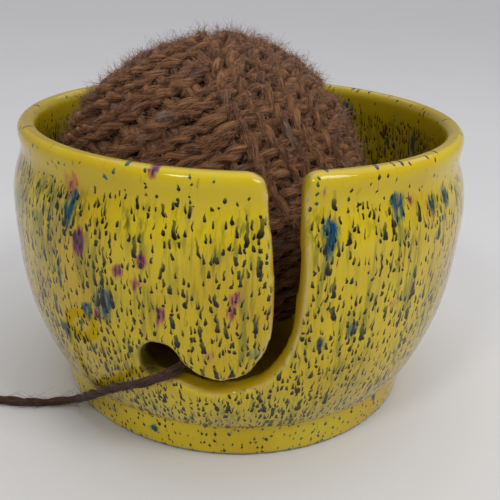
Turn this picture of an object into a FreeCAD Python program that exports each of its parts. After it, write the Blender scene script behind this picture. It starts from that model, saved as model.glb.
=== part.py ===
"""Yarn bowl: a glazed stoneware bowl with a J-shaped yarn slot, holding a ball of wool.

Frame: millimetres, +Z up, origin on the table at the centre of the foot ring.
The yarn slot faces -Y, and its hook turns towards -X.
"""
import FreeCAD
import Part
import math
import os

Vector = FreeCAD.Vector

# Bowl, outside
BOWL_HEIGHT = 99.2
RIM_RADIUS = 77.5
NECK_GROOVE = 0.5          # how far the groove under the rim lies inside the rim
NECK_DROP = 8.6            # from the top of the rim down to the groove
SHOULDER_BULGE = 1.4       # how far the wall stands out beyond the rim, at three heights
SHOULDER_DROP = 15.2
BELLY_BULGE = 3.3
BELLY_HEIGHT = 62.0
LOWER_BELLY_BULGE = 2.3
LOWER_BELLY_HEIGHT = 46.0
HIP_TUCK = 3.1             # how far it lies inside the rim, where it turns in above the foot
HIP_HEIGHT = 24.0
WAIST_TUCK = 9.8           # groove between belly and foot
WAIST_HEIGHT = 10.8
WAIST_ROUND = 1.6
WAIST_DEPTH = 0.3          # of the groove behind the top of the foot
FOOT_TUCK = 10.3
FOOT_EDGE_ROUND = 1.4

# Bowl, inside
WALL = 6.2
FLOOR_THICKNESS = 6.6
FLOOR_HEIGHT = 12.8        # top of the floor above the table
FLOOR_CORNER = 15.0        # height and width of the sweep from floor to wall
FOOT_RING_WIDTH = 6.5

# Yarn slot: x, z and width at stations down its middle, as seen square on at the wall
SLOT_MOUTH = (12.8, 9.8)   # x and width where the slot meets the rounded rim corners
SLOT_STATIONS = [
    (13.9, 77.0, 8.2),
    (14.3, 62.0, 7.2),
    (13.5, 51.7, 6.6),
    (10.1, 42.3, 5.9),
    (5.2, 36.6, 5.0),
    (-1.2, 34.2, 4.6),
    (-7.4, 33.9, 4.6),
    (-12.4, 35.9, 5.0),
    (-17.6, 39.0, 6.0),
]
TAB_CORNER = 4.5           # rounding of the slot's left corner at the rim
MOUTH_CORNER = 3.0         # rounding of its right corner
EYE_X = -22.3
EYE_Z = 41.0
EYE_DIAMETER = 13.5

# Ball of yarn
BALL_RADIUS = 57.0
CORE_RADIUS = 30.0
BALL_RIM_GAP = 3.4         # room between the ball and the rim's inner edge on its near side
BALL_SIDE_ANGLE = 196.0    # direction in which the ball lies off centre, from +X
RUNNING_GAP = 0.3

# Loose end of the yarn
YARN_DIAMETER = 3.0
COIL_TURNS = 3
COIL_OUTER_RADIUS = 20.0   # middle of the outermost turn
TAIL_POINTS = [
    (8.0, -33.0, 22.0),
    (-4.0, -49.5, 31.5),
    (-17.0, -64.5, 41.0),
    (-22.5, -82.0, 41.0),
    (-35.0, -84.0, 33.5),
    (-47.0, -69.5, 22.0),
    (-57.0, -53.5, 9.5),
    (-70.0, -43.5, 2.1),
    (-88.0, -42.4, 1.5),
    (-105.9, -42.0, 1.5),
]

BELLY_RADIUS = RIM_RADIUS + BELLY_BULGE
SHOULDER_RADIUS = RIM_RADIUS + SHOULDER_BULGE
LOWER_BELLY_RADIUS = RIM_RADIUS + LOWER_BELLY_BULGE
HIP_RADIUS = RIM_RADIUS - HIP_TUCK
WAIST_RADIUS = RIM_RADIUS - WAIST_TUCK
FOOT_RADIUS = RIM_RADIUS - FOOT_TUCK
RIM_INNER_RADIUS = RIM_RADIUS - WALL
SLOT_FACE_Y = -RIM_RADIUS
LIP_ROUND = WALL / 2
LIP_CENTRE_HEIGHT = BOWL_HEIGHT - LIP_ROUND


def profile_point(radius, height):
    """A point of the bowl's half section, in the XZ plane."""
    return Vector(radius, 0, height)


def spline(points, start=None, end=None):
    """An edge through the points, with the directions of its ends where they are given."""
    curve = Part.BSplineCurve()
    if start is None:
        curve.interpolate(points)
    else:
        curve.interpolate(Points=points, InitialTangent=start, FinalTangent=end)
    return curve.toShape()


def bowl_section():
    """Closed half section of the bowl, from the foot ring round the lip and back along the floor."""
    foot_top = profile_point(WAIST_RADIUS + WAIST_DEPTH, WAIST_HEIGHT - WAIST_ROUND)
    belly_start = profile_point(WAIST_RADIUS + 3 * WAIST_DEPTH, WAIST_HEIGHT + WAIST_ROUND)
    lip_outer = profile_point(RIM_RADIUS, LIP_CENTRE_HEIGHT)
    lip_top = profile_point(RIM_RADIUS - LIP_ROUND, BOWL_HEIGHT)
    lip_inner = profile_point(RIM_INNER_RADIUS, LIP_CENTRE_HEIGHT)
    inner_hip = profile_point(HIP_RADIUS - WALL * 1.06, FLOOR_HEIGHT + FLOOR_CORNER)
    floor_edge = profile_point(inner_hip.x - FLOOR_CORNER, FLOOR_HEIGHT)
    shoulder_height = BOWL_HEIGHT - SHOULDER_DROP
    recess_height = FLOOR_HEIGHT - FLOOR_THICKNESS
    ring_inner = FOOT_RADIUS - FOOT_RING_WIDTH
    ring_outer_flat = FOOT_RADIUS - FOOT_EDGE_ROUND
    round_mid = FOOT_EDGE_ROUND * (1 - math.sqrt(0.5))

    outer = spline([
        belly_start,
        profile_point(HIP_RADIUS, HIP_HEIGHT),
        profile_point(LOWER_BELLY_RADIUS, LOWER_BELLY_HEIGHT),
        profile_point(BELLY_RADIUS, BELLY_HEIGHT),
        profile_point(SHOULDER_RADIUS, shoulder_height),
        profile_point(RIM_RADIUS - NECK_GROOVE, BOWL_HEIGHT - NECK_DROP),
        lip_outer,
    ], Vector(0.8, 0, 1).normalize(), Vector(0, 0, 1))
    inner = spline([
        lip_inner,
        profile_point(SHOULDER_RADIUS - WALL, shoulder_height),
        profile_point(BELLY_RADIUS - WALL, BELLY_HEIGHT),
        profile_point(LOWER_BELLY_RADIUS - WALL, LOWER_BELLY_HEIGHT),
        inner_hip,
        floor_edge,
    ], Vector(0, 0, -1), Vector(-1, 0, 0))
    edges = [
        Part.makeLine(profile_point(ring_inner, 0), profile_point(ring_outer_flat, 0)),
        Part.Arc(
            profile_point(ring_outer_flat, 0),
            profile_point(FOOT_RADIUS - round_mid, round_mid),
            profile_point(FOOT_RADIUS, FOOT_EDGE_ROUND),
        ).toShape(),
        Part.makeLine(profile_point(FOOT_RADIUS, FOOT_EDGE_ROUND), foot_top),
        Part.Arc(foot_top, profile_point(WAIST_RADIUS, WAIST_HEIGHT), belly_start).toShape(),
        outer,
        Part.Arc(lip_outer, lip_top, lip_inner).toShape(),
        inner,
        Part.makeLine(floor_edge, profile_point(0, FLOOR_HEIGHT)),
        Part.makeLine(profile_point(0, FLOOR_HEIGHT), profile_point(0, recess_height)),
        Part.makeLine(profile_point(0, recess_height), profile_point(ring_inner, recess_height)),
        Part.makeLine(profile_point(ring_inner, recess_height), profile_point(ring_inner, 0)),
    ]
    return Part.Face(Part.Wire(edges))


def slot_edges():
    """Points down the slot's left (tab) edge and its right edge, each from the rim to the eye."""
    mouth_x, mouth_width = SLOT_MOUTH
    middle = [(mouth_x, BOWL_HEIGHT - TAB_CORNER, mouth_width)] + SLOT_STATIONS
    left = []
    right = []
    for index, (x, z, width) in enumerate(middle):
        before = middle[max(index - 1, 0)]
        after = middle[min(index + 1, len(middle) - 1)]
        run = Vector(after[0] - before[0], 0, after[1] - before[1]).normalize()
        if index == 0:
            run = Vector(0, 0, -1)
        across = Vector(-run.z, 0, run.x) * (width / 2)
        right.append(Vector(x, 0, z) + across)
        left.append(Vector(x, 0, z) - across)
    return left, right


def slot_outline():
    """Closed outline of the slot in the plane y = 0, running out over the top of the rim."""
    left, right = slot_edges()
    above = BOWL_HEIGHT + WALL
    tab_start = left[0]
    tab_end = Vector(tab_start.x - TAB_CORNER, 0, BOWL_HEIGHT)
    mouth_start = right[0]
    mouth_turn = Vector(mouth_start.x, 0, BOWL_HEIGHT - MOUTH_CORNER)
    mouth_end = Vector(mouth_start.x + MOUTH_CORNER, 0, BOWL_HEIGHT)
    half = math.sqrt(0.5)
    tab_mid = Vector(tab_end.x + TAB_CORNER * half, 0, tab_start.z + TAB_CORNER * half)
    mouth_mid = Vector(mouth_end.x - MOUTH_CORNER * half, 0, mouth_turn.z + MOUTH_CORNER * half)
    edges = [
        spline(left[::-1]),
        Part.Arc(tab_start, tab_mid, tab_end).toShape(),
        Part.makeLine(tab_end, Vector(tab_end.x, 0, above)),
        Part.makeLine(Vector(tab_end.x, 0, above), Vector(mouth_end.x, 0, above)),
        Part.makeLine(Vector(mouth_end.x, 0, above), mouth_end),
        Part.Arc(mouth_end, mouth_mid, mouth_turn).toShape(),
        Part.makeLine(mouth_turn, mouth_start),
        spline(right),
        Part.makeLine(right[-1], left[-1]),
    ]
    return Part.Wire(edges)


def radial_cutter(outline):
    """Solid whose section is the outline at SLOT_FACE_Y and narrows in X towards the bowl's axis."""
    sections = []
    for y in (SLOT_FACE_Y / 2, -(BELLY_RADIUS + WALL)):
        matrix = FreeCAD.Matrix()
        matrix.scale(y / SLOT_FACE_Y, 1, 1)
        matrix.move(Vector(0, y, 0))
        sections.append(outline.transformGeometry(matrix))
    return Part.makeLoft(sections, True, True)


def make_bowl():
    """The one fired piece: wall, floor, foot ring and lip, with the slot and its eye cut through."""
    body = bowl_section().revolve(Vector(0, 0, 0), Vector(0, 0, 1), 360)
    eye = Part.Wire(Part.makeCircle(EYE_DIAMETER / 2, Vector(EYE_X, 0, EYE_Z), Vector(0, 1, 0)))
    return body.cut(radial_cutter(slot_outline())).cut(radial_cutter(eye))


def ball_centre():
    """The ball stands on the floor, off centre by what the rim leaves it."""
    offset = RIM_INNER_RADIUS - BALL_RADIUS - BALL_RIM_GAP
    angle = math.radians(BALL_SIDE_ANGLE)
    height = FLOOR_HEIGHT + RUNNING_GAP + BALL_RADIUS
    return Vector(offset * math.cos(angle), offset * math.sin(angle), height)


def make_ball_core():
    """The layers wound first, round which the ball grew."""
    return Part.makeSphere(CORE_RADIUS, ball_centre())


def make_ball_winding():
    """The outer layers of the ball, hollow for the core."""
    centre = ball_centre()
    hollow = Part.makeSphere(CORE_RADIUS + RUNNING_GAP, centre)
    return Part.makeSphere(BALL_RADIUS, centre).cut(hollow)


def rounded_path(points):
    """Straight runs joined by tangent arcs, and the list of the arcs' radii."""
    edges = []
    radii = []
    start = points[0]
    for before, corner, after in zip(points, points[1:], points[2:]):
        back = before - corner
        onward = after - corner
        turn = math.pi - back.getAngle(onward)
        cut = 0.45 * min(back.Length, onward.Length)
        radius = cut / math.tan(turn / 2)
        arc_start = corner + back.normalize() * cut
        arc_end = corner + onward.normalize() * cut
        to_centre = (back + onward).normalize()
        reach = radius / math.cos(turn / 2)
        arc_mid = corner + to_centre * (reach - radius)
        edges.append(Part.makeLine(start, arc_start))
        edges.append(Part.Arc(arc_start, arc_mid, arc_end).toShape())
        radii.append(radius)
        start = arc_end
    edges.append(Part.makeLine(start, points[-1]))
    return Part.Wire(edges), radii


def make_yarn_tail():
    """The strand from the ball, out through the eye, down the wall and along the table."""
    points = [Vector(*point) for point in TAIL_POINTS]
    path, radii = rounded_path(points)
    section = Part.Wire(Part.makeCircle(YARN_DIAMETER / 2, points[0], points[1] - points[0]))
    tube = path.makePipeShell([section], True, True)
    expected = math.pi * (YARN_DIAMETER / 2) ** 2 * path.Length
    print("tail length", round(path.Length, 1), "volume over section x length",
          round(tube.Volume / expected, 4))
    print("tail radii", [round(radius, 1) for radius in radii])
    return tube


def make_yarn_coil():
    """Outer shape of the end that is put away: a flat spiral of neat turns on the table."""
    end = Vector(*TAIL_POINTS[-1])
    centre = Vector(end.x, end.y - COIL_OUTER_RADIUS, 0)
    inner = COIL_OUTER_RADIUS - COIL_TURNS * YARN_DIAMETER - YARN_DIAMETER / 2
    outer = COIL_OUTER_RADIUS + YARN_DIAMETER / 2
    ring = Part.makeCylinder(outer, YARN_DIAMETER, centre)
    ring = ring.cut(Part.makeCylinder(inner, YARN_DIAMETER, centre))
    mean = COIL_OUTER_RADIUS - COIL_TURNS * YARN_DIAMETER / 2
    print("coil length", round(2 * math.pi * mean * COIL_TURNS, 1), "mean diameter", 2 * mean)
    return ring.makeFillet(YARN_DIAMETER * 0.3, ring.Edges)


def main():
    """Write every sub-part to its own STEP file."""
    os.makedirs("parts", exist_ok=True)
    nodes = {
        "bowl": make_bowl(),
        "ball_core": make_ball_core(),
        "ball_winding": make_ball_winding(),
        "yarn_tail": make_yarn_tail(),
        "yarn_coil": make_yarn_coil(),
    }
    for name, shape in nodes.items():
        box = shape.BoundBox
        print(name, "valid", shape.isValid(), "solids", len(shape.Solids),
              "volume", round(shape.Volume), "x", round(box.XMin, 1), round(box.XMax, 1),
              "y", round(box.YMin, 1), round(box.YMax, 1), "z", round(box.ZMin, 2), round(box.ZMax, 2))
        shape.exportStep("parts/" + name + ".step")


main()
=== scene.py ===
"""Looks of the yarn bowl: a glazed pot with a J-shaped slot, a wound ball of wool and its loose end.

Lengths are metres in the frame's own axes: +Z up, the origin on the table at the centre of the
foot ring, the slot facing -Y and its hook turning towards -X.
"""
import logging
import math
import random
from dataclasses import dataclass
from enum import Enum

import bmesh
import bpy
from mathutils import Matrix, Vector
from mathutils.bvhtree import BVHTree
from mathutils.kdtree import KDTree


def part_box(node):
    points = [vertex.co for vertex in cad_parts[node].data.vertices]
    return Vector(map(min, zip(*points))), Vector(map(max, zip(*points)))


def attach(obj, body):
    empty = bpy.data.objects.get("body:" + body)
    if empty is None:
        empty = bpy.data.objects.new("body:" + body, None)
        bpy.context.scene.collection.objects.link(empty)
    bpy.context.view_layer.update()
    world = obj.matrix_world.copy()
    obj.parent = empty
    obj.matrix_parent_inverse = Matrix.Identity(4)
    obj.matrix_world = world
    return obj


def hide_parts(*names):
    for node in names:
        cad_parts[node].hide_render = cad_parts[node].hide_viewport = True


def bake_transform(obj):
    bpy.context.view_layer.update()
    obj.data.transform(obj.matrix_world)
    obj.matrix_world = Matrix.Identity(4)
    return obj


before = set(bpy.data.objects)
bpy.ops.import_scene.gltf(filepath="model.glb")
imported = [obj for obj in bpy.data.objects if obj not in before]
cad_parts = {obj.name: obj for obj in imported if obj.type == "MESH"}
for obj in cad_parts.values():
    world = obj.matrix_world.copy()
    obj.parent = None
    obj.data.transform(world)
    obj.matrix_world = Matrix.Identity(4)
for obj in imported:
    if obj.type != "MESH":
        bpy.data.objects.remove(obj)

log = logging.getLogger("yarn_bowl")
Colour = tuple[float, float, float]
Place = tuple[float, float, float]
Socket = bpy.types.NodeSocket
MM = 0.001
ROUND = 2 * math.pi


# ---------------------------------------------------------------- small helpers

def ramp(low: float, high: float, value: float) -> float:
    """Rises smoothly from 0 at low to 1 at high."""
    t = min(max((value - low) / (high - low), 0.0), 1.0)
    return t * t * (3 - 2 * t)


def link(name: str, data: bpy.types.ID) -> bpy.types.Object:
    """Puts a new object with this data into the scene."""
    piece = bpy.data.objects.new(name, data)
    bpy.context.scene.collection.objects.link(piece)
    return piece


def mesh_of(shape: bmesh.types.BMesh, name: str, smooth: bool = True) -> bpy.types.Mesh:
    """Turns a finished bmesh into a mesh and frees it.

    Args:
        shape: the bmesh.
        name: the mesh's name.
        smooth: whether its faces are shaded smooth.

    Returns:
        The mesh.
    """
    mesh = bpy.data.meshes.new(name)
    shape.to_mesh(mesh)
    shape.free()
    for face in mesh.polygons:
        face.use_smooth = smooth
    return mesh


def mesh_of_curve(curve: bpy.types.Curve) -> bpy.types.Mesh:
    """Turns a finished curve into a mesh and removes the curve."""
    holder = bpy.data.objects.new(curve.name, curve)
    mesh = bpy.data.meshes.new_from_object(holder)
    bpy.data.objects.remove(holder)
    bpy.data.curves.remove(curve)
    return mesh


def smooth_line(points: list[Vector], start: Vector, end: Vector, step: float) -> list[Vector]:
    """Points along the cubic spline through the given ones.

    Args:
        points: what the line passes through.
        start: unit direction in which it sets out.
        end: unit direction in which it arrives.
        step: distance between the returned points.

    Returns:
        Closely spaced points, the last of the given ones included.
    """
    gaps = [(b - a).length for a, b in zip(points, points[1:])]
    slopes = [start] + [Vector((0, 0, 0))] * (len(points) - 2) + [end]
    for _ in range(60):
        for i in range(1, len(points) - 1):
            before, after = gaps[i - 1], gaps[i]
            arriving = (points[i] - points[i - 1]) * (after / before)
            leaving = (points[i + 1] - points[i]) * (before / after)
            known = (arriving + leaving) * 3 - slopes[i - 1] * after - slopes[i + 1] * before
            slopes[i] = known / (2 * (before + after))
    line = []
    for i, gap in enumerate(gaps):
        count = max(2, round(gap / step))
        for k in range(count):
            t = k / count
            line.append(
                points[i] * (2 * t ** 3 - 3 * t ** 2 + 1) + points[i + 1] * (3 * t ** 2 - 2 * t ** 3)
                + (slopes[i] * (t ** 3 - 2 * t ** 2 + t) + slopes[i + 1] * (t ** 3 - t ** 2)) * gap)
    return line + [points[-1]]


def arc(centre: Vector, radius: float, first: float, last: float, count: int) -> list[Vector]:
    """Points of an arc in the XZ plane, from one angle to another in degrees, its ends left out."""
    turn = [math.radians(first + (last - first) * k / count) for k in range(1, count)]
    return [centre + Vector((math.cos(a), 0, math.sin(a))) * radius for a in turn]


# ---------------------------------------------------------------- node trees

class Graph:
    """A node tree, with one short call for each kind of node."""

    def __init__(self, tree: bpy.types.NodeTree) -> None:
        """Takes the tree that the nodes go into."""
        self.tree = tree

    def add(self, kind: str, inputs: dict | None = None, **settings) -> bpy.types.Node:
        """Adds a node.

        Args:
            kind: its type, without the leading ShaderNode.
            inputs: values or sockets for its inputs, by name or number.
            settings: its own properties.

        Returns:
            The node.
        """
        node = self.tree.nodes.new("ShaderNode" + kind)
        for name, value in settings.items():
            setattr(node, name, value)
        for name, value in (inputs or {}).items():
            self.feed(node.inputs[name], value)
        return node

    def feed(self, socket: Socket, value: Socket | float | tuple) -> None:
        """Links a socket to an input, or sets the input's own value."""
        if isinstance(value, bpy.types.NodeSocket):
            self.tree.links.new(value, socket)
        elif isinstance(value, tuple) and socket.type == "RGBA":
            socket.default_value = (*value, 1.0)
        else:
            socket.default_value = value

    def calc(self, operation: str, *terms: Socket | float, clamp: bool = False) -> Socket:
        """The result of a Math node."""
        return self.add("Math", dict(enumerate(terms)), operation=operation, use_clamp=clamp).outputs[0]

    def product(self, *terms: Socket | float) -> Socket:
        """The product of two or more values."""
        result = terms[0]
        for term in terms[1:]:
            result = self.calc("MULTIPLY", result, term)
        return result

    def line(self, value: Socket, slope: Socket | float, start: Socket | float) -> Socket:
        """A value times a slope, plus a start."""
        return self.calc("MULTIPLY_ADD", value, slope, start)

    def step(self, value: Socket, low: float | Socket, high: float | Socket) -> Socket:
        """A smooth rise from 0 at low to 1 at high."""
        node = self.add("MapRange", {"Value": value, "From Min": low, "From Max": high},
                        interpolation_type="SMOOTHSTEP")
        return node.outputs["Result"]

    def vector(self, operation: str, *terms: Socket | tuple) -> Socket:
        """The result of a Vector Math node."""
        return self.add("VectorMath", dict(enumerate(terms)), operation=operation).outputs[0]

    def mix(self, factor: Socket | float, a: Socket | Colour, b: Socket | Colour) -> Socket:
        """A mix of two colours."""
        node = self.add("Mix", data_type="RGBA")
        self.feed(node.inputs["Factor"], factor)
        self.feed(node.inputs[6], a)
        self.feed(node.inputs[7], b)
        return node.outputs[2]

    def noise(self, place: Socket, scale: float, detail: float = 2.0, rough: float = 0.5,
              warp: float = 0.0) -> Socket:
        """The value of a Noise Texture at a place."""
        inputs = {"Vector": place, "Scale": scale, "Detail": detail, "Roughness": rough, "Distortion": warp}
        return self.add("TexNoise", inputs).outputs[0]

    def attribute(self, name: str, output: str = "Fac") -> Socket:
        """An attribute of the piece itself."""
        return self.add("Attribute", attribute_name=name).outputs[output]

    def parts(self, vector: Socket) -> list[Socket]:
        """A vector's three parts."""
        return self.add("SeparateXYZ", {0: vector}).outputs[:]

    def joined(self, *parts: Socket) -> Socket:
        """A vector made of its parts."""
        return self.add("CombineXYZ", dict(enumerate(parts))).outputs[0]

    def colours(self, factor: Socket, stops: list[tuple[float, Colour]]) -> Socket:
        """A colour ramp with these stops."""
        node = self.add("ValToRGB", {"Fac": factor})
        band = node.color_ramp
        while len(band.elements) < len(stops):
            band.elements.new(0.5)
        for element, (place, colour) in zip(band.elements, stops):
            element.position = place
            element.color = (*colour, 1.0)
        return node.outputs["Color"]


class Material(Graph):
    """A material with one Principled shader."""

    def __init__(self, name: str) -> None:
        """Makes the material and finds its shader."""
        self.material = bpy.data.materials.new(name)
        self.material.use_nodes = True
        super().__init__(self.material.node_tree)
        self.shader = self.tree.nodes["Principled BSDF"]

    def surface(self, **inputs: Socket | float | tuple) -> None:
        """Sets the shader's inputs; an underscore in a name stands for a space."""
        for name, value in inputs.items():
            self.feed(self.shader.inputs[name.replace("_", " ")], value)

    def relief(self, height: Socket, distance: float, strength: float) -> None:
        """Raises fine relief on the surface by a height of 0 to 1 times a distance."""
        bump = self.add("Bump", {"Height": height, "Distance": distance, "Strength": strength})
        self.feed(self.shader.inputs["Normal"], bump.outputs[0])

    def dress(self, piece: bpy.types.Object) -> None:
        """Gives a piece this material alone."""
        piece.data.materials.clear()
        piece.data.materials.append(self.material)


# ---------------------------------------------------------------- finishes

class Tint(Enum):
    """The colours that bloom in the glaze, by the channel that carries them."""
    TEAL = 0
    MAGENTA = 1
    RUST = 2
    GREEN = 3


@dataclass(frozen=True)
class Flecks:
    """One size of the dark flecks that ran down in the glaze, each a head with a tail above it."""
    spacing: float
    rise: float
    width: float
    length: float
    seed: float
    seed_skew: float = 1.7
    least_size: float = 0.45
    size_range: float = 0.75
    lean: float = 0.35
    softness: float = 0.25
    fade: float = 0.45

    def draw(self, graph: Graph, around: Socket, height: Socket, density: Socket) -> tuple[Socket, Socket]:
        """Draws the flecks.

        Args:
            graph: the tree they go into.
            around: distance round the wall.
            height: height above the table.
            density: the share of flecks that show, 0 to 1.

        Returns:
            How strongly a fleck covers the point, and how far up its tail the point is.
        """
        place = graph.joined(graph.line(around, 1 / self.spacing, self.seed),
                             graph.line(height, 1 / self.rise, self.seed * self.seed_skew))
        cells = graph.add("TexVoronoi", {"Vector": place, "Scale": 1.0, "Randomness": 1.0},
                          voronoi_dimensions="2D", feature="F1")
        across, upward, _ = graph.parts(graph.vector("SUBTRACT", place, cells.outputs["Position"]))
        chance, chance_size, chance_lean = graph.add("SeparateColor", {0: cells.outputs["Color"]}).outputs
        up = graph.product(upward, self.rise)
        size = graph.line(chance_size, self.size_range, self.least_size)
        lean = graph.product(graph.calc("SUBTRACT", chance_lean, 0.5), self.lean)
        side = graph.line(up, lean, graph.product(across, self.spacing))
        tail = graph.calc("DIVIDE", up, graph.product(size, self.length), clamp=True)
        below = graph.calc("DIVIDE", up, -self.width, clamp=True)
        taper = graph.calc("POWER", graph.calc("SUBTRACT", 1.0, tail), 0.5)
        round_end = graph.calc("SQRT", graph.calc("SUBTRACT", 1.0, graph.product(below, below)))
        half = graph.product(taper, round_end, graph.product(size, self.width))
        soft = self.softness * self.width
        inside = graph.step(graph.calc("SUBTRACT", half, graph.calc("ABSOLUTE", side)), -soft, soft)
        shown = graph.step(graph.calc("SUBTRACT", density, chance), -0.02, 0.02)
        return graph.product(inside, shown, graph.line(tail, -self.fade, 1.0)), tail


@dataclass(frozen=True)
class Spot:
    """Sockets that say where on the pot a point is, and the patterns that several colours share."""
    place: Socket
    x: Socket
    z: Socket
    around: Socket
    high: Socket
    tall: Socket
    upright: Socket
    on_wall: Socket
    inside: Socket
    clouds: Socket
    streaks: Socket
    green: Socket
    sill: Socket


@dataclass(frozen=True)
class Glaze:
    """Glossy yellow glaze with dark flecks, green streaks and blooms of teal and magenta."""
    yellow: Colour = (0.67, 0.495, 0.011)
    deep_yellow: Colour = (0.58, 0.39, 0.007)
    lemon: Colour = (0.60, 0.49, 0.03)
    olive: Colour = (0.13, 0.145, 0.02)
    haze: Colour = (0.36, 0.30, 0.13)
    dark: Colour = (0.004, 0.007, 0.004)
    green: Colour = (0.016, 0.040, 0.014)
    teal: Colour = (0.006, 0.100, 0.090)
    blue: Colour = (0.003, 0.055, 0.120)
    magenta: Colour = (0.36, 0.050, 0.085)
    purple: Colour = (0.11, 0.020, 0.075)
    rust: Colour = (0.50, 0.17, 0.012)
    edge: Colour = (0.62, 0.47, 0.20)
    # painted shade on the slot's cut faces
    cut_face_shade: Colour = (0.36, 0.21, 0.006)
    # painted shade inside the pot
    inner: Colour = (0.10, 0.065, 0.003)
    # painted shade in the eye behind the hook
    eye_shade: Colour = (0.030, 0.036, 0.006)
    brown: Colour = (0.15, 0.085, 0.02)
    clay: Colour = (0.60, 0.50, 0.38)
    fine: Flecks = Flecks(1.75 * MM, 3.5 * MM, 0.45 * MM, 4.0 * MM, 3.1)
    broad: Flecks = Flecks(3.6 * MM, 8.5 * MM, 0.80 * MM, 7.5 * MM, 7.7)
    dots: Flecks = Flecks(3.1 * MM, 2.5 * MM, 0.54 * MM, 0.9 * MM, 11.3)
    wall_radius: float = 78 * MM
    inner_radius: float = 75 * MM
    inside_low: float = 45 * MM
    rim_low: float = 89.5 * MM
    foot_top: float = 11.2 * MM
    floor_edge: float = 60 * MM
    eye_side: float = -20 * MM
    wobble: float = 1.6 * MM
    wobble_scale: float = 420.0
    veil: float = 0.72
    gloss: float = 0.06

    def survey(self, paint: Material) -> Spot:
        """Works out where on the pot a point is."""
        place = paint.add("TexCoord").outputs["Object"]
        x, y, z = paint.parts(place)
        angle = paint.calc("ARCTAN2", x, paint.product(y, -1.0))
        drift = paint.add("TexNoise", {"Vector": place, "Scale": self.wobble_scale, "Detail": 1.0}).outputs[1]
        aside, along = [paint.line(part, self.wobble, -self.wobble / 2) for part in paint.parts(drift)[:2]]
        flat = paint.joined(x, y)
        distance = paint.add("VectorMath", {0: flat}, operation="LENGTH").outputs["Value"]
        sill = paint.attribute("sill")
        upright = paint.product(paint.step(distance, self.floor_edge, self.floor_edge + 4 * MM),
                                paint.calc("SUBTRACT", 1.0, sill))
        on_wall = paint.product(paint.step(z, self.foot_top, self.foot_top + 3 * MM),
                                paint.step(z, self.rim_low + 3 * MM, self.rim_low - 3 * MM), upright)
        inside = paint.product(paint.step(distance, self.inner_radius + MM, self.inner_radius),
                               paint.step(z, self.inside_low, self.inside_low + 10 * MM))
        tall = paint.vector("MULTIPLY", place, (1.0, 1.0, 0.11))
        return Spot(place=place, x=x, z=z, around=paint.line(angle, self.wall_radius, aside),
                    high=paint.calc("ADD", z, along), tall=tall, upright=upright, on_wall=on_wall,
                    inside=inside,
                    clouds=paint.noise(place, 38.0), streaks=paint.noise(tall, 620.0, 2.0, 0.55, 0.15),
                    green=paint.attribute("green"), sill=sill)

    def ground(self, paint: Material, spot: Spot) -> Socket:
        """The yellow ground with its olive streaks and pale haze."""
        depth = paint.step(paint.noise(spot.place, 26.0), 0.35, 0.7)
        colour = paint.mix(depth, self.yellow, self.deep_yellow)
        colour = paint.mix(paint.product(paint.step(spot.clouds, 0.5, 0.75), 0.6), colour, self.lemon)
        green = paint.calc("MAXIMUM", spot.green, paint.product(spot.inside, 0.45))
        gather = paint.calc("MAXIMUM", green, paint.step(paint.noise(spot.tall, 150.0), 0.42, 0.66))
        strands = paint.calc("ADD", spot.streaks, paint.product(green, 0.08))
        veil = paint.product(paint.step(strands, 0.43, 0.66), gather, spot.on_wall, self.veil)
        colour = paint.mix(veil, colour, self.olive)
        hem = paint.product(paint.step(spot.z, 30 * MM, 15 * MM), spot.on_wall)
        wisps = paint.product(paint.step(paint.noise(spot.tall, 95.0), 0.52, 0.70), 0.30)
        return paint.mix(paint.product(paint.line(hem, 0.22, wisps), spot.on_wall), colour, self.haze)

    def bloomed(self, paint: Material, spot: Spot, colour: Socket) -> Socket:
        """Adds the blooms, with ragged edges that ran down."""
        bloom = paint.add("SeparateColor", {0: paint.attribute("bloom", "Color")}).outputs
        rag = paint.noise(paint.vector("MULTIPLY", spot.place, (1.0, 1.0, 0.22)), 520.0, 3.0, 0.6)
        ragged = paint.line(rag, 2.4, -1.2)
        for tint, pale, full in ((Tint.RUST, self.rust, self.rust), (Tint.TEAL, self.teal, self.blue),
                                 (Tint.MAGENTA, self.magenta, self.purple)):
            share = bloom[tint.value]
            weight = paint.calc("ADD", share, paint.product(ragged, paint.step(share, 0.02, 0.25)))
            cover = paint.product(paint.step(weight, 0.02, 0.85), paint.step(spot.streaks, 0.18, 0.55))
            colour = paint.mix(cover, colour, paint.mix(paint.step(weight, 0.5, 0.95), pale, full))
        return colour

    def flecked(self, paint: Material, spot: Spot, colour: Socket) -> tuple[Socket, Socket]:
        """Adds the flecks; returns the colour and where the fine ones lie."""
        low = paint.step(spot.z, 78 * MM, 26 * MM)
        density = paint.line(low, 0.38, paint.line(spot.clouds, 1.5, -0.12))
        density = paint.line(spot.green, 0.3, density)
        density = paint.product(paint.line(spot.inside, 0.35, density), spot.on_wall)
        broad, tail = self.broad.draw(paint, spot.around, spot.high, paint.product(density, 0.58))
        colour = paint.mix(broad, colour, paint.mix(paint.step(tail, 0.05, 0.5), self.dark, self.green))
        fine, tail = self.fine.draw(paint, spot.around, spot.high, density)
        colour = paint.mix(fine, colour, paint.mix(paint.step(tail, 0.1, 0.6), self.dark, self.green))
        plain = paint.product(paint.calc("SUBTRACT", spot.upright, spot.on_wall), 0.40)
        density = paint.product(plain, paint.line(paint.step(spot.z, 50 * MM, 10 * MM), 1.1, 0.7))
        dots, _ = self.dots.draw(paint, spot.around, spot.high, density)
        dot_colour = paint.mix(paint.step(spot.clouds, 0.5, 0.6), self.dark, self.teal)
        return paint.mix(dots, colour, dot_colour), fine

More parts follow.
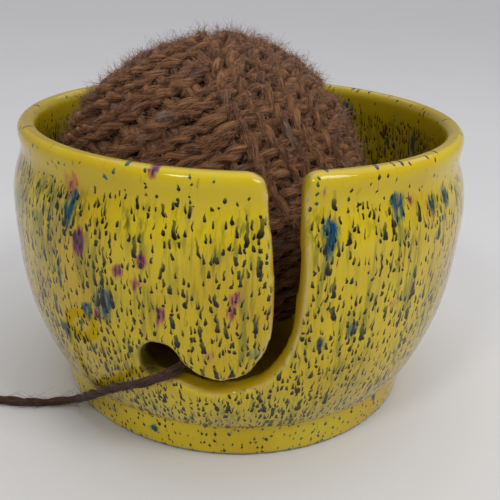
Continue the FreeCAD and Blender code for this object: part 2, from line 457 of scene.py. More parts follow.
    def make(self) -> Material:
        """Builds the material; it reads the attributes bloom (teal, magenta, rust), green, edge and sill, and
        paints shade on the slot's cut faces, in the eye and inside the pot.
        """
        paint = Material("glaze_yellow_speckled")
        spot = self.survey(paint)
        colour = self.bloomed(paint, spot, self.ground(paint, spot))
        colour, fine = self.flecked(paint, spot, colour)
        # Painted shade in the eye: the cut faces past eye_side are darkened to a near-black green.
        eye_shade_mask = paint.product(paint.step(spot.x, self.eye_side, self.eye_side - 4.5 * MM), spot.sill)
        bare = paint.step(spot.z, 0.6 * MM, 0.2 * MM)
        for cover, tint in (
                (paint.product(paint.attribute("edge"), 0.75), self.edge),
                # painted shade: the slot's cut faces darkened
                (paint.product(spot.sill, 0.6), self.cut_face_shade),
                # painted shade in the eye
                (paint.product(eye_shade_mask, 0.85), self.eye_shade),
                (paint.product(paint.step(spot.z, 1.5 * MM, 0.7 * MM), 0.8), self.brown),
                (bare, self.clay),
                # painted shade: the inside of the pot darkened
                (paint.product(spot.inside, 0.35), self.inner)):
            colour = paint.mix(cover, colour, tint)
        roughness = paint.line(bare, 0.65, paint.line(spot.streaks, 0.05, self.gloss))
        paint.surface(Base_Color=colour, Roughness=roughness, Specular_IOR_Level=0.32, IOR=1.50,
                      Coat_Weight=0.04, Coat_Roughness=0.03)
        waves = paint.noise(spot.place, 160.0)
        paint.relief(paint.calc("ADD", waves, paint.product(fine, 0.15)), 0.5 * MM, 0.12)
        return paint


@dataclass(frozen=True)
class Wool:
    """Variegated two-ply wool; it reads the attributes along, around, shade and crown."""
    name: str
    shadow: Colour = (0.034, 0.011, 0.006)
    stops: tuple[tuple[float, Colour], ...] = (
        (0.30, (0.030, 0.028, 0.032)),
        (0.37, (0.085, 0.022, 0.009)),
        (0.44, (0.210, 0.078, 0.028)),
        (0.51, (0.400, 0.190, 0.078)),
        (0.57, (0.150, 0.036, 0.012)),
        (0.65, (0.190, 0.175, 0.185)),
    )
    light: Colour = (0.48, 0.22, 0.092)
    sheen: float = 0.16

    def make(self) -> Material:
        """Builds the material."""
        paint = Material(self.name)
        along, around, shade, crown = [paint.attribute(key) for key in ("along", "around", "shade", "crown")]
        strand = paint.joined(along, paint.product(shade, 3.0))
        colour = paint.colours(paint.noise(strand, 46.0, 3.0, 0.65), list(self.stops))
        twisted = paint.line(along, 260.0, paint.product(around, 9.0))
        fibre = paint.noise(paint.joined(paint.product(along, 130.0), twisted, paint.product(shade, 50.0)),
                            1.0, 3.0, 0.6)
        colour = paint.mix(paint.step(fibre, 0.34, 0.66), paint.mix(0.85, colour, self.shadow),
                           paint.mix(0.30, colour, self.light))
        colour = paint.mix(paint.step(crown, 0.62, -0.30), colour, self.shadow)
        paint.surface(Base_Color=colour, Roughness=0.72, Sheen_Weight=self.sheen, Sheen_Roughness=0.45,
                      Sheen_Tint=(0.75, 0.55, 0.42), Specular_IOR_Level=0.25)
        paint.relief(fibre, 0.6 * MM, 1.0)
        return paint


@dataclass(frozen=True)
class Fuzz:
    """Single fibres that stand out from the wool."""
    name: str
    light: Colour
    dark: Colour
    scale: float = 380.0

    def make(self) -> Material:
        """Builds the material; a fibre's tone changes from place to place."""
        paint = Material(self.name)
        tone = paint.noise(paint.add("TexCoord").outputs["Object"], self.scale)
        colour = paint.mix(paint.step(tone, 0.35, 0.65), self.dark, self.light)
        paint.surface(Base_Color=colour, Roughness=0.6)
        return paint


@dataclass(frozen=True)
class Plain:
    """A pale matt surface with a faint mottle."""
    name: str
    colour: Colour
    other: Colour
    scale: float = 6.0

    def make(self) -> Material:
        """Builds the material."""
        paint = Material(self.name)
        place = paint.add("TexCoord").outputs["Object"]
        mottle = paint.noise(place, self.scale, 3.0)
        paint.surface(Base_Color=paint.mix(mottle, self.colour, self.other), Roughness=0.85)
        paint.relief(paint.noise(place, 900.0, 2.0), 0.2 * MM, 0.15)
        return paint


# ---------------------------------------------------------------- bowl

# For each tint: azimuth in degrees, then height, width and length in millimetres, and strength.
BLOOMS = {
    Tint.TEAL: (
        (-37, 86, 4.0, 12, 0.75), (-28, 59, 5.2, 12, 1.0), (-33, 54, 3.2, 6, 0.8),
        (-42, 42, 3.6, 7, 0.8), (-41, 63, 3.0, 9, 0.6), (4, 49, 2.6, 6, 0.8), (18, 84, 4.6, 14, 0.8),
        (35, 89, 4.4, 9, 1.0), (53, 87, 3.4, 7, 0.8), (46, 86, 2.6, 6, 0.8), (25, 53, 2.8, 7, 0.8),
        (18, 50, 2.8, 6, 0.7), (-22, 6.5, 2.9, 1.4, 1.0), (-36, 7.5, 2.4, 1.4, 0.8),
        (47, 10, 2.2, 2.5, 0.8),
    ),
    Tint.MAGENTA: (
        (-34, 76, 4.6, 9, 1.0), (-38, 90, 1.8, 4, 1.0), (-17, 98.4, 3.0, 3.0, 1.0),
        (-30, 53, 2.2, 3, 1.0), (-19, 74, 3.2, 4, 0.6), (-24, 69.5, 2.6, 4, 0.85),
        (-20, 67, 2.2, 4, 0.8), (-11, 73, 2.4, 5, 0.6), (-15, 59, 2.6, 7, 0.8), (0, 66, 2.6, 5, 0.9),
        (-1, 61, 2.0, 4, 0.7), (-5, 47, 2.4, 5, 0.7), (39, 88.5, 1.8, 3, 0.8), (17, 94.5, 2.0, 3, 0.6),
        (35, 58, 2.4, 4, 0.6), (41, 61, 2.0, 3, 0.6),
    ),
    Tint.RUST: (
        (-38, 91, 4.5, 8, 0.7), (45, 84, 5.0, 5, 0.35),
    ),
    Tint.GREEN: (
        (-37, 90, 11, 26, 1.0), (-46, 92, 14, 60, 1.0), (-31, 75, 9, 22, 0.8), (-28, 60, 8, 16, 0.9),
        (-60, 85, 16, 55, 1.0), (-12, 80, 5, 26, 0.6), (2, 62, 5, 16, 0.7), (17, 82, 5, 34, 0.9),
        (35, 90, 6, 14, 0.7), (24, 56, 8, 18, 0.7), (50, 55, 12, 34, 0.6),
    ),
}


@dataclass(frozen=True)
class Bloom:
    """One patch of colour in the glaze: where it is, how large, and how far it ran down."""
    azimuth: float
    height: float
    tint: Tint
    width: float
    length: float
    strength: float

    def weight(self, azimuth: float, height: float, radius: float) -> float:
        """How strongly the patch colours a point.

        Args:
            azimuth: the point's direction, in degrees from -Y towards +X.
            height: its height.
            radius: the wall's radius there.

        Returns:
            0 outside the patch, up to its strength at its head.
        """
        turn = (azimuth - self.azimuth + 180) % 360 - 180
        side = abs(math.radians(turn)) * radius
        fall = self.height - height
        reach = self.length if fall > 0 else self.width
        share = abs(fall) / reach
        if share >= 1:
            return 0.0
        half = self.width * (1 - 0.55 * share)
        return self.strength * ramp(1.0, 0.25, side / half) * ramp(1.0, 0.2, share)


@dataclass
class Bowl:
    """The fired piece: wall, lip, floor and foot ring, with the slot and its eye cut through."""
    height: float = 99.2 * MM
    rim_radius: float = 77.5 * MM
    profile: tuple[tuple[float, float], ...] = (
        (74.4 * MM, 24.0 * MM), (79.8 * MM, 46.0 * MM), (80.8 * MM, 62.0 * MM),
        (78.9 * MM, 84.0 * MM), (77.0 * MM, 90.6 * MM))
    waist_radius: float = 67.7 * MM
    waist_height: float = 10.8 * MM
    waist_round: float = 1.6 * MM
    waist_depth: float = 0.3 * MM
    foot_radius: float = 67.2 * MM
    foot_round: float = 1.4 * MM
    foot_ring: float = 6.5 * MM
    wall: float = 6.2 * MM
    floor_height: float = 12.8 * MM
    floor_thickness: float = 6.6 * MM
    floor_corner: float = 15.0 * MM
    voxel: float = 1.3 * MM
    edge_softness: float = 2.4 * MM
    more_blooms: int = 120
    seed: int = 7

    def section(self) -> list[Vector]:
        """Closed half section of the pot, uncut, from the foot ring round the lip to the axis."""
        lip = self.wall / 2
        lip_height = self.height - lip
        corner = Vector((self.foot_radius - self.foot_round, 0, self.foot_round))
        foot_top = Vector((self.waist_radius + self.waist_depth, 0, self.waist_height - self.waist_round))
        belly_start = Vector((self.waist_radius + 3 * self.waist_depth, 0,
                              self.waist_height + self.waist_round))
        outer = smooth_line([
            belly_start,
            *[Vector((radius, 0, height)) for radius, height in self.profile],
            Vector((self.rim_radius, 0, lip_height)),
        ], Vector((0.8, 0, 1)).normalized(), Vector((0, 0, 1)), 0.5 * MM)
        hip = Vector((self.profile[0][0] - self.wall * 1.06, 0, self.floor_height + self.floor_corner))
        floor_edge = Vector((hip.x - self.floor_corner, 0, self.floor_height))
        inner = smooth_line([
            Vector((self.rim_radius - self.wall, 0, lip_height)),
            *[Vector((radius - self.wall, 0, height)) for radius, height in self.profile[3:0:-1]],
            hip,
            floor_edge,
        ], Vector((0, 0, -1)), Vector((-1, 0, 0)), 0.5 * MM)
        ring_inner = self.foot_radius - self.foot_ring
        recess = self.floor_height - self.floor_thickness
        return [
            Vector((0, 0, recess)),
            Vector((ring_inner, 0, recess)),
            Vector((ring_inner, 0, 0)),
            Vector((corner.x, 0, 0)),
            *arc(corner, self.foot_round, -90, 0, 6),
            Vector((self.foot_radius, 0, self.foot_round)),
            foot_top,
            *self.waist_line(foot_top, belly_start),
            *outer,
            *arc(Vector((self.rim_radius - lip, 0, lip_height)), lip, 0, 180, 24),
            *inner,
            Vector((0, 0, self.floor_height)),
        ]

    def waist_line(self, low: Vector, high: Vector) -> list[Vector]:
        """The groove's round between the foot and the belly, its ends left out."""
        middle = Vector((self.waist_radius, 0, self.waist_height))
        count = 8
        bend = middle * 2 - (low + high) / 2
        line = []
        for k in range(1, count):
            t = k / count
            line.append(low * (1 - t) ** 2 + bend * (2 * t * (1 - t)) + high * t ** 2)
        return line

    def uncut(self) -> BVHTree:
        """The exact surface of the pot before the slot was cut, for finding nearest points."""
        shape = bmesh.new()
        line = [shape.verts.new(point) for point in self.section()]
        edges = [shape.edges.new(pair) for pair in zip(line, line[1:])]
        bmesh.ops.spin(shape, geom=line + edges, cent=(0, 0, 0), axis=(0, 0, 1), angle=ROUND,
                       steps=384, use_merge=True)
        bmesh.ops.remove_doubles(shape, verts=shape.verts, dist=0.01 * MM)
        tree = BVHTree.FromBMesh(shape)
        shape.free()
        return tree

    def even_mesh(self) -> bmesh.types.BMesh:
        """The pot's solid as an even mesh of small faces."""
        shape = bmesh.new()
        shape.from_mesh(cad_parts["bowl"].data)
        bmesh.ops.remove_doubles(shape, verts=shape.verts, dist=0.002 * MM)
        rough = link("bowl_rough", mesh_of(shape, "bowl_rough"))
        remesh = rough.modifiers.new("even", "REMESH")
        remesh.mode = "VOXEL"
        remesh.voxel_size = self.voxel
        seen = rough.evaluated_get(bpy.context.evaluated_depsgraph_get())
        mesh = bpy.data.meshes.new_from_object(seen)
        shape = bmesh.new()
        shape.from_mesh(mesh)
        bpy.data.objects.remove(rough)
        bpy.data.meshes.remove(mesh)
        return shape

    def cut_faces(self, uncut: BVHTree) -> BVHTree:
        """The faces that the slot's cut left, for finding how far away they are."""
        shape = bmesh.new()
        shape.from_mesh(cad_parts["bowl"].data)
        wall_faces = [face for face in shape.faces
                      if uncut.find_nearest(face.calc_center_median())[3] < 0.3 * MM]
        bmesh.ops.delete(shape, geom=wall_faces, context="FACES")
        tree = BVHTree.FromBMesh(shape)
        shape.free()
        return tree

    def build(self, glaze: Material) -> bpy.types.Object:
        """Makes the pot, rounds the slot's edges as thick glaze does, and lays the colours' weights.

        Args:
            glaze: its finish.

        Returns:
            The piece.
        """
        uncut = self.uncut()
        cut = self.cut_faces(uncut)
        shape = self.even_mesh()
        shape.verts.ensure_lookup_table()
        to_cut = [cut.find_nearest(vert.co)[3] for vert in shape.verts]
        near = [vert for vert, gap in zip(shape.verts, to_cut) if gap < self.edge_softness]
        for _ in range(7):
            bmesh.ops.smooth_vert(shape, verts=near, factor=0.5, use_axis_x=True, use_axis_y=True,
                                  use_axis_z=True)
        break_line = shape.verts.layers.float.new("edge")
        sill = shape.verts.layers.float.new("sill")
        for vert, gap in zip(shape.verts, to_cut):
            place, _, _, off = uncut.find_nearest(vert.co)
            hold = ramp(0.4 * self.edge_softness, self.edge_softness, gap)
            vert.co = vert.co.lerp(place, hold)
            # sill marks the slot's cut faces, which the glaze darkens with painted shade
            vert[sill] = ramp(1.6 * MM, 0.8 * MM, gap) * ramp(0.5 * MM, 1.1 * MM, off)
            out = math.hypot(vert.co.x, vert.co.y) > self.rim_radius - self.wall / 2
            if out and gap < 3 * MM:
                vert[break_line] = ramp(1.3 * MM, 0.5 * MM, gap) * ramp(1.4 * MM, 0.5 * MM, off)
        self.colour(shape)
        bmesh.ops.recalc_face_normals(shape, faces=shape.faces)
        piece = link("bowl_glazed", mesh_of(shape, "bowl_glazed"))
        glaze.dress(piece)
        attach(piece, "bowl")
        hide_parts("bowl")
        log.info("bowl: %d faces, %d near the slot", len(piece.data.polygons), len(near))
        return piece

    def colour(self, shape: bmesh.types.BMesh) -> None:
        """Lays the blooms' weights on the vertices."""
        pick = random.Random(self.seed)
        blooms = [Bloom(azimuth, height * MM, tint, width * MM, length * MM, strength)
                  for tint, patches in BLOOMS.items()
                  for azimuth, height, width, length, strength in patches]
        for _ in range(self.more_blooms):
            azimuth = pick.uniform(60, 300)
            tint = pick.choices(list(Tint), weights=(5, 4, 1, 4))[0]
            size = pick.uniform(1.8, 4.8) * MM * (2 if tint is Tint.GREEN else 1)
            height = pick.uniform(22, 92) * MM
            length = size * pick.uniform(1.5, 3)
            blooms.append(Bloom(azimuth, height, tint, size, length, pick.uniform(0.5, 1.0)))
        layer = shape.verts.layers.float_color.new("bloom")
        veil = shape.verts.layers.float.new("green")
        for vert in shape.verts:
            x, y, z = vert.co
            azimuth = math.degrees(math.atan2(x, -y))
            radius = math.hypot(x, y)
            weights = [0.0] * len(Tint)
            for bloom in blooms:
                if abs(z - bloom.height) < bloom.length + bloom.width:
                    channel = bloom.tint.value
                    weights[channel] = max(weights[channel], bloom.weight(azimuth, z, radius))
            vert[layer] = (*weights[:3], 1.0)
            vert[veil] = weights[Tint.GREEN.value]


# ---------------------------------------------------------------- yarn

@dataclass(frozen=True)
class Yarn:
    """Two soft plies twisted round each other."""
    ply_radius: float
    offset: float
    pitch: float
    step: float
    sides: int = 6
    uneven: float = 0.10

    def plies(self, name: str, lines: list[list[Vector]], closed: bool, ups: list[list[Vector]],
              shades: list[float]) -> bpy.types.Mesh:
        """Twists two plies along each line.

        Args:
            name: the mesh's name.
            lines: evenly spaced points along each strand.
            closed: whether each strand's end meets its start.
            ups: for each point, the direction that counts as the strand's crown.
            shades: one number for each strand that sets its own dye apart.

        Returns:
            A mesh with the attributes along, around, shade and crown.
        """
        curve = bpy.data.curves.new(name, "CURVE")
        curve.dimensions = "3D"
        curve.bevel_depth = self.ply_radius
        curve.bevel_resolution = self.sides // 2 - 2
        facts = []
        for line, up, shade in zip(lines, ups, shades):
            count = len(line)
            length = count * self.step
            turns = round(length / self.pitch) if closed else length / self.pitch
            for ply in (0, 1):
                spline = curve.splines.new("POLY")
                spline.points.add(count - 1)
                spline.use_cyclic_u = closed
                for i, centre in enumerate(line):
                    after = line[(i + 1) % count] if closed or i + 1 < count else centre
                    before = line[i - 1] if closed or i else centre
                    run = (after - before).normalized()
                    crown = (up[i] - run * up[i].dot(run)).normalized()
                    side = run.cross(crown)
                    turn = ROUND * i / count
                    uneven = math.sin(9 * turn + shade) + math.sin(23 * turn + 3 * shade + 2 * ply)
                    phase = turns * turn + math.pi * ply + 0.35 * math.sin(14 * turn + 5 * shade)
                    place = centre + (crown * math.cos(phase) + side * math.sin(phase)) * self.offset
                    spline.points[i].co = (*place, 1)
                    spline.points[i].radius = 1 + self.uneven * uneven
                facts.append((line, up, shade + 0.37 * ply))
        mesh = mesh_of_curve(curve)
        self.note(mesh, facts)
        if not closed:
            close_ends(mesh)
        return mesh

    def note(self, mesh: bpy.types.Mesh, facts: list[tuple[list[Vector], list[Vector], float]]) -> None:
        """Writes along, around, shade and crown on a mesh of tubes.

        Args:
            mesh: the tubes, ring after ring.
            facts: for each tube its strand's line, its crown directions and its shade.
        """
        layers = {key: mesh.attributes.new(key, "FLOAT", "POINT").data for key in
                  ("along", "around", "shade", "crown")}
        index = 0
        reach = self.offset + self.ply_radius
        for line, up, shade in facts:
            for i, centre in enumerate(line):
                for side in range(self.sides):
                    layers["along"][index].value = i * self.step
                    layers["around"][index].value = abs(2 * side / self.sides - 1)
                    layers["shade"][index].value = shade
                    layers["crown"][index].value = (mesh.vertices[index].co - centre).dot(up[i]) / reach
                    index += 1
        for face in mesh.polygons:
            face.use_smooth = True


def close_ends(mesh: bpy.types.Mesh) -> None:
    """Closes the open ends of a mesh of tubes."""
    shape = bmesh.new()
    shape.from_mesh(mesh)
    bmesh.ops.holes_fill(shape, edges=[edge for edge in shape.edges if edge.is_boundary], sides=0)
    shape.to_mesh(mesh)
    shape.free()


def even_line(points: list[Vector], step: float) -> list[Vector]:
    """Points evenly spaced along a line of closely spaced ones."""
    length = sum((b - a).length for a, b in zip(points, points[1:]))
    count = max(2, round(length / step))
    gap = length / count
    line = [points[0]]
    wanted = gap
    walked = 0.0
    for a, b in zip(points, points[1:]):
        run = (b - a).length
        while walked + run >= wanted - 1e-9 and len(line) < count:
            line.append(a.lerp(b, (wanted - walked) / run))
            wanted += gap
        walked += run
    return line + [points[-1]]


@dataclass(frozen=True)
class Fluff:
    """Loose fibres that stand out from the wool: how long, how steep, how thick and how curly they are."""
    length: tuple[float, float]
    lift: tuple[float, float]
    radius: float
    stray: float
    points: int = 4
    thin_end: float = 0.4
    settle: float = 0.2

    def grow(self, name: str, roots: list[tuple[Vector, Vector, Vector]], pick: random.Random,
             floor: float | None = None) -> bpy.types.Object:
        """Makes the fibres.

        Args:
            name: the piece's name.
            roots: for each fibre its root, the strand's direction and the direction away from it.
            pick: where the chances come from.
            floor: the height that no fibre goes below.

        Returns:
            A piece of closed thin tubes.
        """
        curve = bpy.data.curves.new(name, "CURVE")
        curve.dimensions = "3D"
        curve.bevel_depth = self.radius
        curve.bevel_resolution = 0
        steps = self.points - 1
        for root, run, out in roots:
            reach = pick.uniform(*self.length)
            heading = (out * pick.uniform(*self.lift) + run * pick.choice((-1, 1)) * pick.uniform(0.2, 1.2)
                       + run.cross(out) * pick.uniform(-self.stray, self.stray)).normalized()
            curl = Vector([pick.uniform(-1, 1) for _ in range(3)])
            spline = curve.splines.new("POLY")
            spline.points.add(steps)
            place = root.copy()
            for i in range(self.points):
                if floor is not None:
                    place.z = max(place.z, floor)
                spline.points[i].co = (*place, 1)
                spline.points[i].radius = 1 - (1 - self.thin_end) * i / steps
                place = place + heading * (reach / steps)
                heading = (heading + curl * self.stray - out * self.lift[1] * self.settle).normalized()
        mesh = mesh_of_curve(curve)
        close_ends(mesh)
        return link(name, mesh)


@dataclass(frozen=True)
class Band:
    """Loops wound side by side round one axis."""
    axis: Place
    first: float
    last: float
    loops: int
    room: tuple[float, float]


@dataclass
class Ball:
    """The ball of wool: tight inner layers, coloured dark as painted shade, and the strands wound over them.
    """
    radius: float = 57.0 * MM
    inner_radius: float = 48.5 * MM
    yarn: Yarn = Yarn(1.55 * MM, 0.88 * MM, 12.5 * MM, 1.45 * MM, 6, 0.13)
    sink: float = 0.45
    under_room: tuple[float, float] = (48.0 * MM, 50.4 * MM)
    under_bands: int = 4
    under_loops: int = 8
    bands: tuple[Band, ...] = (
        Band((0.57, 0.46, 0.67), -48 * MM, 48 * MM, 23, (50.5 * MM, 52.2 * MM)),
        Band((-0.52, 0.10, 0.85), -48 * MM, 49 * MM, 25, (52.2 * MM, 53.9 * MM)),
        Band((0.82, -0.12, 0.56), 33 * MM, 48 * MM, 5, (53.0 * MM, 54.4 * MM)),
    )
    grid: int = 16000
    strands_share: int = 30
    halo: Fluff = Fluff((2.5 * MM, 7 * MM), (0.05, 0.80), 0.045 * MM, 0.45)
    halo_fibres: int = 13000
    nap: Fluff = Fluff((4 * MM, 10 * MM), (-0.05, 0.22), 0.065 * MM, 0.30)
    nap_fibres: int = 26000
    fibres_share: int = 6900
    buried: float = 0.9 * MM
    seed: int = 21

    def __post_init__(self) -> None:
        """Reads the ball's place from the frame, and spreads spots evenly over it."""
        low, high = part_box("ball_winding")
        self.centre = (Vector(low) + Vector(high)) / 2
        self.thick = self.yarn.offset + self.yarn.ply_radius
        golden = math.pi * (3 - math.sqrt(5))
        self.spots = KDTree(self.grid)
        for i in range(self.grid):
            z = 1 - 2 * (i + 0.5) / self.grid
            ring = math.sqrt(1 - z * z)
            self.spots.insert(Vector((ring * math.cos(golden * i), ring * math.sin(golden * i), z)), i)
        self.spots.balance()
        self.tops = [self.inner_radius] * self.grid

    def loop(self, axis: Vector, offset: float, pick: random.Random) -> list[Vector]:
        """Unit directions, evenly spaced, of a loop round an axis at an offset along it."""
        reference = Vector((0, 0, 1)) if abs(axis.z) < 0.8 else Vector((1, 0, 0))
        first = axis.cross(reference).normalized()
        second = axis.cross(first)
        lift = offset / (self.radius - 3 * MM)
        ring = math.sqrt(1 - lift * lift)
        count = round(ROUND * ring * (self.radius - 4 * MM) / self.yarn.step)
        start = pick.uniform(0, ROUND)
        waves = [(k, pick.uniform(0.003, 0.012), pick.uniform(0, ROUND)) for k in (2, 3, 5, 9)]
        path = []
        for i in range(count):
            turn = ROUND * i / count + start
            sway = sum(size * math.sin(k * turn + phase) for k, size, phase in waves)
            spot = axis * (lift + sway) + (first * math.cos(turn) + second * math.sin(turn)) * ring
            path.append(spot.normalized())
        return path

    def lay(self, path: list[Vector], room: tuple[float, float]) -> list[float]:
        """Lays a loop over the ones before it.

        Args:
            path: the loop's directions.
            room: the lowest and highest that it may lie.

        Returns:
            The strand's distance from the ball's centre at each of them.
        """
        count = len(path)
        under = []
        for spot in path:
            found = self.spots.find_range(spot, 0.9 * self.thick / self.radius)
            under.append(sum(self.tops[i] for _, i, _ in found) / max(len(found), 1))
        lifted = [max(under[(i + j) % count] - 0.05 * MM * j * j for j in range(-3, 4)) for i in range(count)]
        low, high = room
        height = []
        for i in range(count):
            level = sum(lifted[(i + j) % count] for j in range(-2, 3)) / 5 + self.thick * self.sink
            height.append(min(max(level, low), high))
        for spot, level in zip(path, height):
            for _, i, gap in self.spots.find_range(spot, self.thick / self.radius):
                rise = math.sqrt(max(0.0, 1 - (gap * self.radius / self.thick) ** 2))
                self.tops[i] = max(self.tops[i], level + self.thick * rise)
        return height

    def wind(self) -> tuple[list[list[Vector]], list[list[Vector]]]:
        """Winds every band.

        Returns:
            The loops' lines, and their directions away from the ball's centre.
        """
        pick = random.Random(self.seed)
        bands = []
        for _ in range(self.under_bands):
            axis = (pick.gauss(0, 1), pick.gauss(0, 1), pick.gauss(0, 1))
            bands.append(Band(axis, -16 * MM, 16 * MM, self.under_loops, self.under_room))
        bands.extend(self.bands)
        paths = []
        lines = []
        for band in bands:
            axis = Vector(band.axis).normalized()
            for k in range(band.loops):
                offset = band.first + (band.last - band.first) * k / (band.loops - 1)
                tilt = Vector([pick.uniform(-0.035, 0.035) for _ in range(3)])
                path = self.loop((axis + tilt).normalized(), offset + pick.uniform(-0.4, 0.4) * MM, pick)
                heights = self.lay(path, band.room)
                lines.append([self.centre + spot * level for spot, level in zip(path, heights)])
                paths.append(path)
        log.info("ball: %d loops, highest crown %.1f mm", len(lines), max(self.tops) / MM)
        return lines, paths

    def roots(self, lines: list[list[Vector]], ups: list[list[Vector]],
              pick: random.Random) -> list[tuple[Vector, Vector, Vector]]:
        """Picks where the loose fibres start, on strands that nothing covers.

        Args:
            lines: the loops' lines.
            ups: their directions away from the ball's centre.
            pick: where the chances come from.

        Returns:
            For each fibre its root, the strand's direction and the direction away from it.
        """
        wanted = self.halo_fibres + self.nap_fibres
        roots = []
        flat = [(line, up, i) for line, up in zip(lines, ups) for i in range(len(line))]
        for line, up, i in pick.choices(flat, k=5 * wanted):
            _, spot, _ = self.spots.find(up[i])
            level = (line[i] - self.centre).length + self.thick
            if len(roots) >= wanted:
                break
            if level < self.tops[spot] - self.buried or (up[i].z < -0.1 and pick.random() < 0.75):
                continue
            run = (line[(i + 1) % len(line)] - line[i]).normalized()
            side = run.cross(up[i]) * pick.uniform(-1.4, 1.4) * MM
            roots.append((line[i] + up[i] * 1.3 * MM + side, run, up[i]))
        return roots

    def build(self, wool: Material, under_shade: Material, fuzz: Material) -> list[bpy.types.Object]:
        """Makes the ball.

        Args:
            wool: the strands' finish.
            under_shade: the finish of what lies under them, dark as painted shade in the gaps between the
                strands.
            fuzz: the loose fibres' finish.

        Returns:
            Its pieces.
        """
        lines, ups = self.wind()
        pick = random.Random(self.seed + 1)
        shades = [pick.uniform(0, 10) for _ in lines]
        pieces = []
        for n, start in enumerate(range(0, len(lines), self.strands_share)):
            part = slice(start, start + self.strands_share)
            name = "ball_strands_%d" % n
            piece = link(name, self.yarn.plies(name, lines[part], True, ups[part], shades[part]))
            wool.dress(piece)
            pieces.append(piece)
        # The sphere under the strands is as dark as the wool's shadow: painted shade that shows in the gaps
        # between them.
        shape = bmesh.new()
        bmesh.ops.create_icosphere(shape, subdivisions=5, radius=self.inner_radius,
                                   matrix=Matrix.Translation(self.centre))
        under = link("ball_under_layers", mesh_of(shape, "ball_under_layers"))
        under_shade.dress(under)
        pieces.append(under)
        roots = self.roots(lines, ups, pick)
        for kind, crowd, fluff in (("nap", roots[self.halo_fibres:], self.nap),
                                   ("halo", roots[:self.halo_fibres], self.halo)):
            for n, start in enumerate(range(0, len(crowd), self.fibres_share)):
                piece = fluff.grow("ball_%s_%d" % (kind, n), crowd[start:start + self.fibres_share], pick)
                fuzz.dress(piece)
                pieces.append(piece)
        for piece in pieces:
            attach(piece, "winding")
            log.info("%s: %d faces", piece.name, len(piece.data.polygons))
        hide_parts("ball_winding")
        # the core too is dark with painted shade
        under_shade.dress(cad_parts["ball_core"])
        return pieces


@dataclass
class LooseEnd:
    """The strand that runs from the ball out through the eye, down the wall and along the table."""
    diameter: float = 3.0 * MM
    yarn: Yarn = Yarn(1.10 * MM, 0.46 * MM, 17.0 * MM, 0.8 * MM, 8, 0.13)
    route: tuple[Place, ...] = (
        (8.0, -33.0, 22.0), (-4.0, -50.0, 31.0), (-12.5, -66.0, 37.2),
        (-19.5, -78.2, 38.0), (-29.5, -75.6, 33.0), (-39.0, -67.0, 24.8),
        (-47.5, -57.6, 15.2), (-54.0, -46.8, 5.6), (-62.0, -43.0, 1.6),
        (-72.0, -44.6, 1.5), (-88.0, -42.4, 1.5), (-105.9, -42.0, 1.5),
    )
    coil_centre: tuple[float, float] = (-105.9 * MM, -62.0 * MM)
    coil_radius: float = 20.0 * MM
    coil_turns: int = 3
    turn_points: int = 14
    length: float = 465 * MM
    fluff: Fluff = Fluff((4 * MM, 10 * MM), (-0.15, 0.12), 0.05 * MM, 0.16)
    fibres: int = 4500
    fibre_floor: float = 0.08 * MM
    seed: int = 5

    def points(self) -> list[Vector]:
        """The route's points, which are given in millimetres, and then the coil's."""
        points = [Vector([part * MM for part in point]) for point in self.route]
        x, y = self.coil_centre
        for k in range(1, self.coil_turns * self.turn_points + 1):
            turn = k / self.turn_points
            radius = self.coil_radius - turn * self.diameter
            angle = math.pi / 2 + ROUND * turn
            across, along = radius * math.cos(angle), radius * math.sin(angle)
            points.append(Vector((x + across, y + along, self.diameter / 2)))
        return points

    def centre_line(self) -> list[Vector]:
        """The smooth line that the strand follows."""
        curve = bpy.data.curves.new("loose_end_line", "CURVE")
        curve.dimensions = "3D"
        curve.resolution_u = 16
        spline = curve.splines.new("NURBS")
        points = self.points()
        spline.points.add(len(points) - 1)
        for handle, point in zip(spline.points, points):
            handle.co = (*point, 1)
        spline.order_u = 3
        spline.use_endpoint_u = True
        mesh = mesh_of_curve(curve)
        line = [vertex.co.copy() for vertex in mesh.vertices]
        bpy.data.meshes.remove(mesh)
        return even_line(line, self.yarn.step)

    def build(self, wool: Material, fuzz: Material) -> bpy.types.Object:
        """Args:
            wool: its finish.
            fuzz: the fibres' finish.

        Returns:
            The strand.
        """
        line = self.centre_line()
        ups = [Vector((0.02, -0.1, 1)).normalized() for _ in line]
        mesh = self.yarn.plies("loose_end", [line], False, [ups], [2.3])
        strand = link("loose_end", mesh)
        wool.dress(strand)
        pick = random.Random(self.seed)
        roots = []
        for _ in range(self.fibres):
            i = pick.randrange(1, len(line) - 1)
            run = (line[i + 1] - line[i - 1]).normalized()
            out = Vector([pick.gauss(0, 1) for _ in range(3)])
            out = (out - run * out.dot(run)).normalized()
            roots.append((line[i] + out * 1.0 * MM, run, out))
        fluff = self.fluff.grow("loose_end_fuzz", roots, pick, self.fibre_floor)
        fuzz.dress(fluff)
        for piece in (strand, fluff):
            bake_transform(piece)
        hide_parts("yarn_tail", "yarn_coil")
        log.info("loose end: %d points, %d faces", len(line), len(mesh.polygons))
        return strand


# ---------------------------------------------------------------- studio

@dataclass(frozen=True)
class Softbox:
    """A square soft light that points at the bowl."""
    name: str
    place: Place
    size: tuple[float, float]
    power: float
    colour: Colour = (1.0, 1.0, 1.0)

    def build(self, aim: Vector) -> None:
        """Adds the light, turned towards a point."""
        data = bpy.data.lights.new(self.name, "AREA")
        data.shape = "RECTANGLE"
        data.size, data.size_y = self.size
        data.energy = self.power
        data.color = self.colour
        lamp = link(self.name, data)
        lamp.location = self.place
        lamp.rotation_euler = (aim - Vector(self.place)).to_track_quat("-Z", "Y").to_euler()


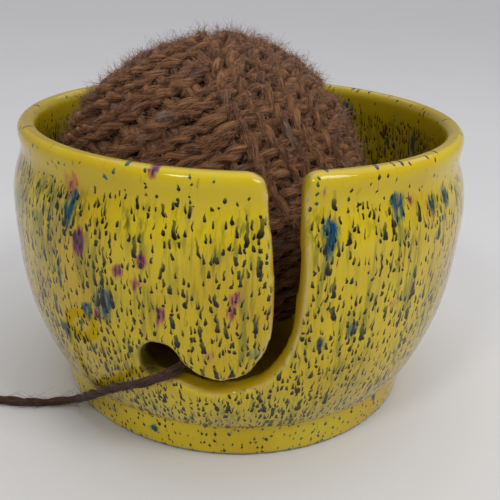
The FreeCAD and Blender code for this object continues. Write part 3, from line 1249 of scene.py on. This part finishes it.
@dataclass
class Studio:
    """Floor, lights and camera."""
    eye: Place = (0.0, -0.2373, 0.1486)
    pitch: float = 23.72
    roll: float = 1.78
    lens: float = 47.3
    sensor: float = 36.0
    shift: float = 0.0258
    floor_size: float = 30.0
    lights: tuple[Softbox, ...] = (
        Softbox("window_left", (-0.45, -0.70, 0.85), (0.18, 0.25), 2.2, (1.0, 0.98, 0.95)),
        Softbox("window_right", (0.60, -0.45, 0.90), (0.34, 0.40), 3.9, (1.0, 0.99, 0.97)),
    )
    sky: Place = (0.15, 0.30, 1.0)
    sky_power: float = 1.25
    sky_spread: float = 85.0
    world: Colour = (0.88, 0.90, 0.95)
    world_power: float = 0.31

    def build(self) -> None:
        """Sets the scene round the object."""
        data = bpy.data.cameras.new("camera")
        data.lens = self.lens
        data.sensor_width = self.sensor
        data.shift_x = self.shift
        data.clip_start = 0.01
        camera = link("camera", data)
        tip = Matrix.Rotation(math.radians(90 - self.pitch), 4, "X")
        roll = Matrix.Rotation(math.radians(self.roll), 4, "Z")
        camera.matrix_world = Matrix.Translation(self.eye) @ (tip @ roll)
        bpy.context.scene.camera = camera
        shape = bmesh.new()
        bmesh.ops.create_grid(shape, x_segments=4, y_segments=4, size=self.floor_size / 2)
        table = link("floor", mesh_of(shape, "floor"))
        Plain("pale_cloth", (0.67, 0.66, 0.665), (0.71, 0.70, 0.705)).make().dress(table)
        for light in self.lights:
            light.build(Vector((0, 0, 0.05)))
        sky = bpy.data.lights.new("sky", "SUN")
        sky.energy = self.sky_power
        sky.angle = math.radians(self.sky_spread)
        lamp = link("sky", sky)
        lamp.rotation_euler = Vector(self.sky).to_track_quat("Z", "Y").to_euler()
        world = bpy.data.worlds.new("world")
        world.use_nodes = True
        background = world.node_tree.nodes["Background"]
        background.inputs["Color"].default_value = (*self.world, 1.0)
        background.inputs["Strength"].default_value = self.world_power
        bpy.context.scene.world = world
        bpy.context.scene.view_settings.view_transform = "Standard"


def main() -> None:
    """Builds everything."""
    logging.basicConfig(level=logging.INFO, format="%(name)s: %(message)s")
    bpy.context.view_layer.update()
    Studio().build()
    wool = Wool("wool_variegated").make()
    dark_wool = Wool("wool_strand", stops=(
        (0.2, (0.034, 0.013, 0.009)), (0.4, (0.070, 0.028, 0.018)), (0.55, (0.105, 0.048, 0.032)),
        (0.7, (0.055, 0.026, 0.022))), light=(0.16, 0.08, 0.05)).make()
    fuzz = Fuzz("wool_fibres", (0.43, 0.21, 0.098), (0.055, 0.020, 0.010)).make()
    dark_fuzz = Fuzz("wool_strand_fibres", (0.17, 0.09, 0.06), (0.05, 0.022, 0.015)).make()
    # The layers under the strands get the wool's shadow colour: painted shade for the gaps between them.
    under_shade = Plain("wool_under_painted_shade", (0.035, 0.016, 0.010), (0.075, 0.036, 0.022), 220.0).make()
    LooseEnd().build(dark_wool, dark_fuzz)
    Bowl().build(Glaze().make())
    Ball().build(wool, under_shade, fuzz)
    log.info("sizes written")


if __name__ == "__main__":
    main()
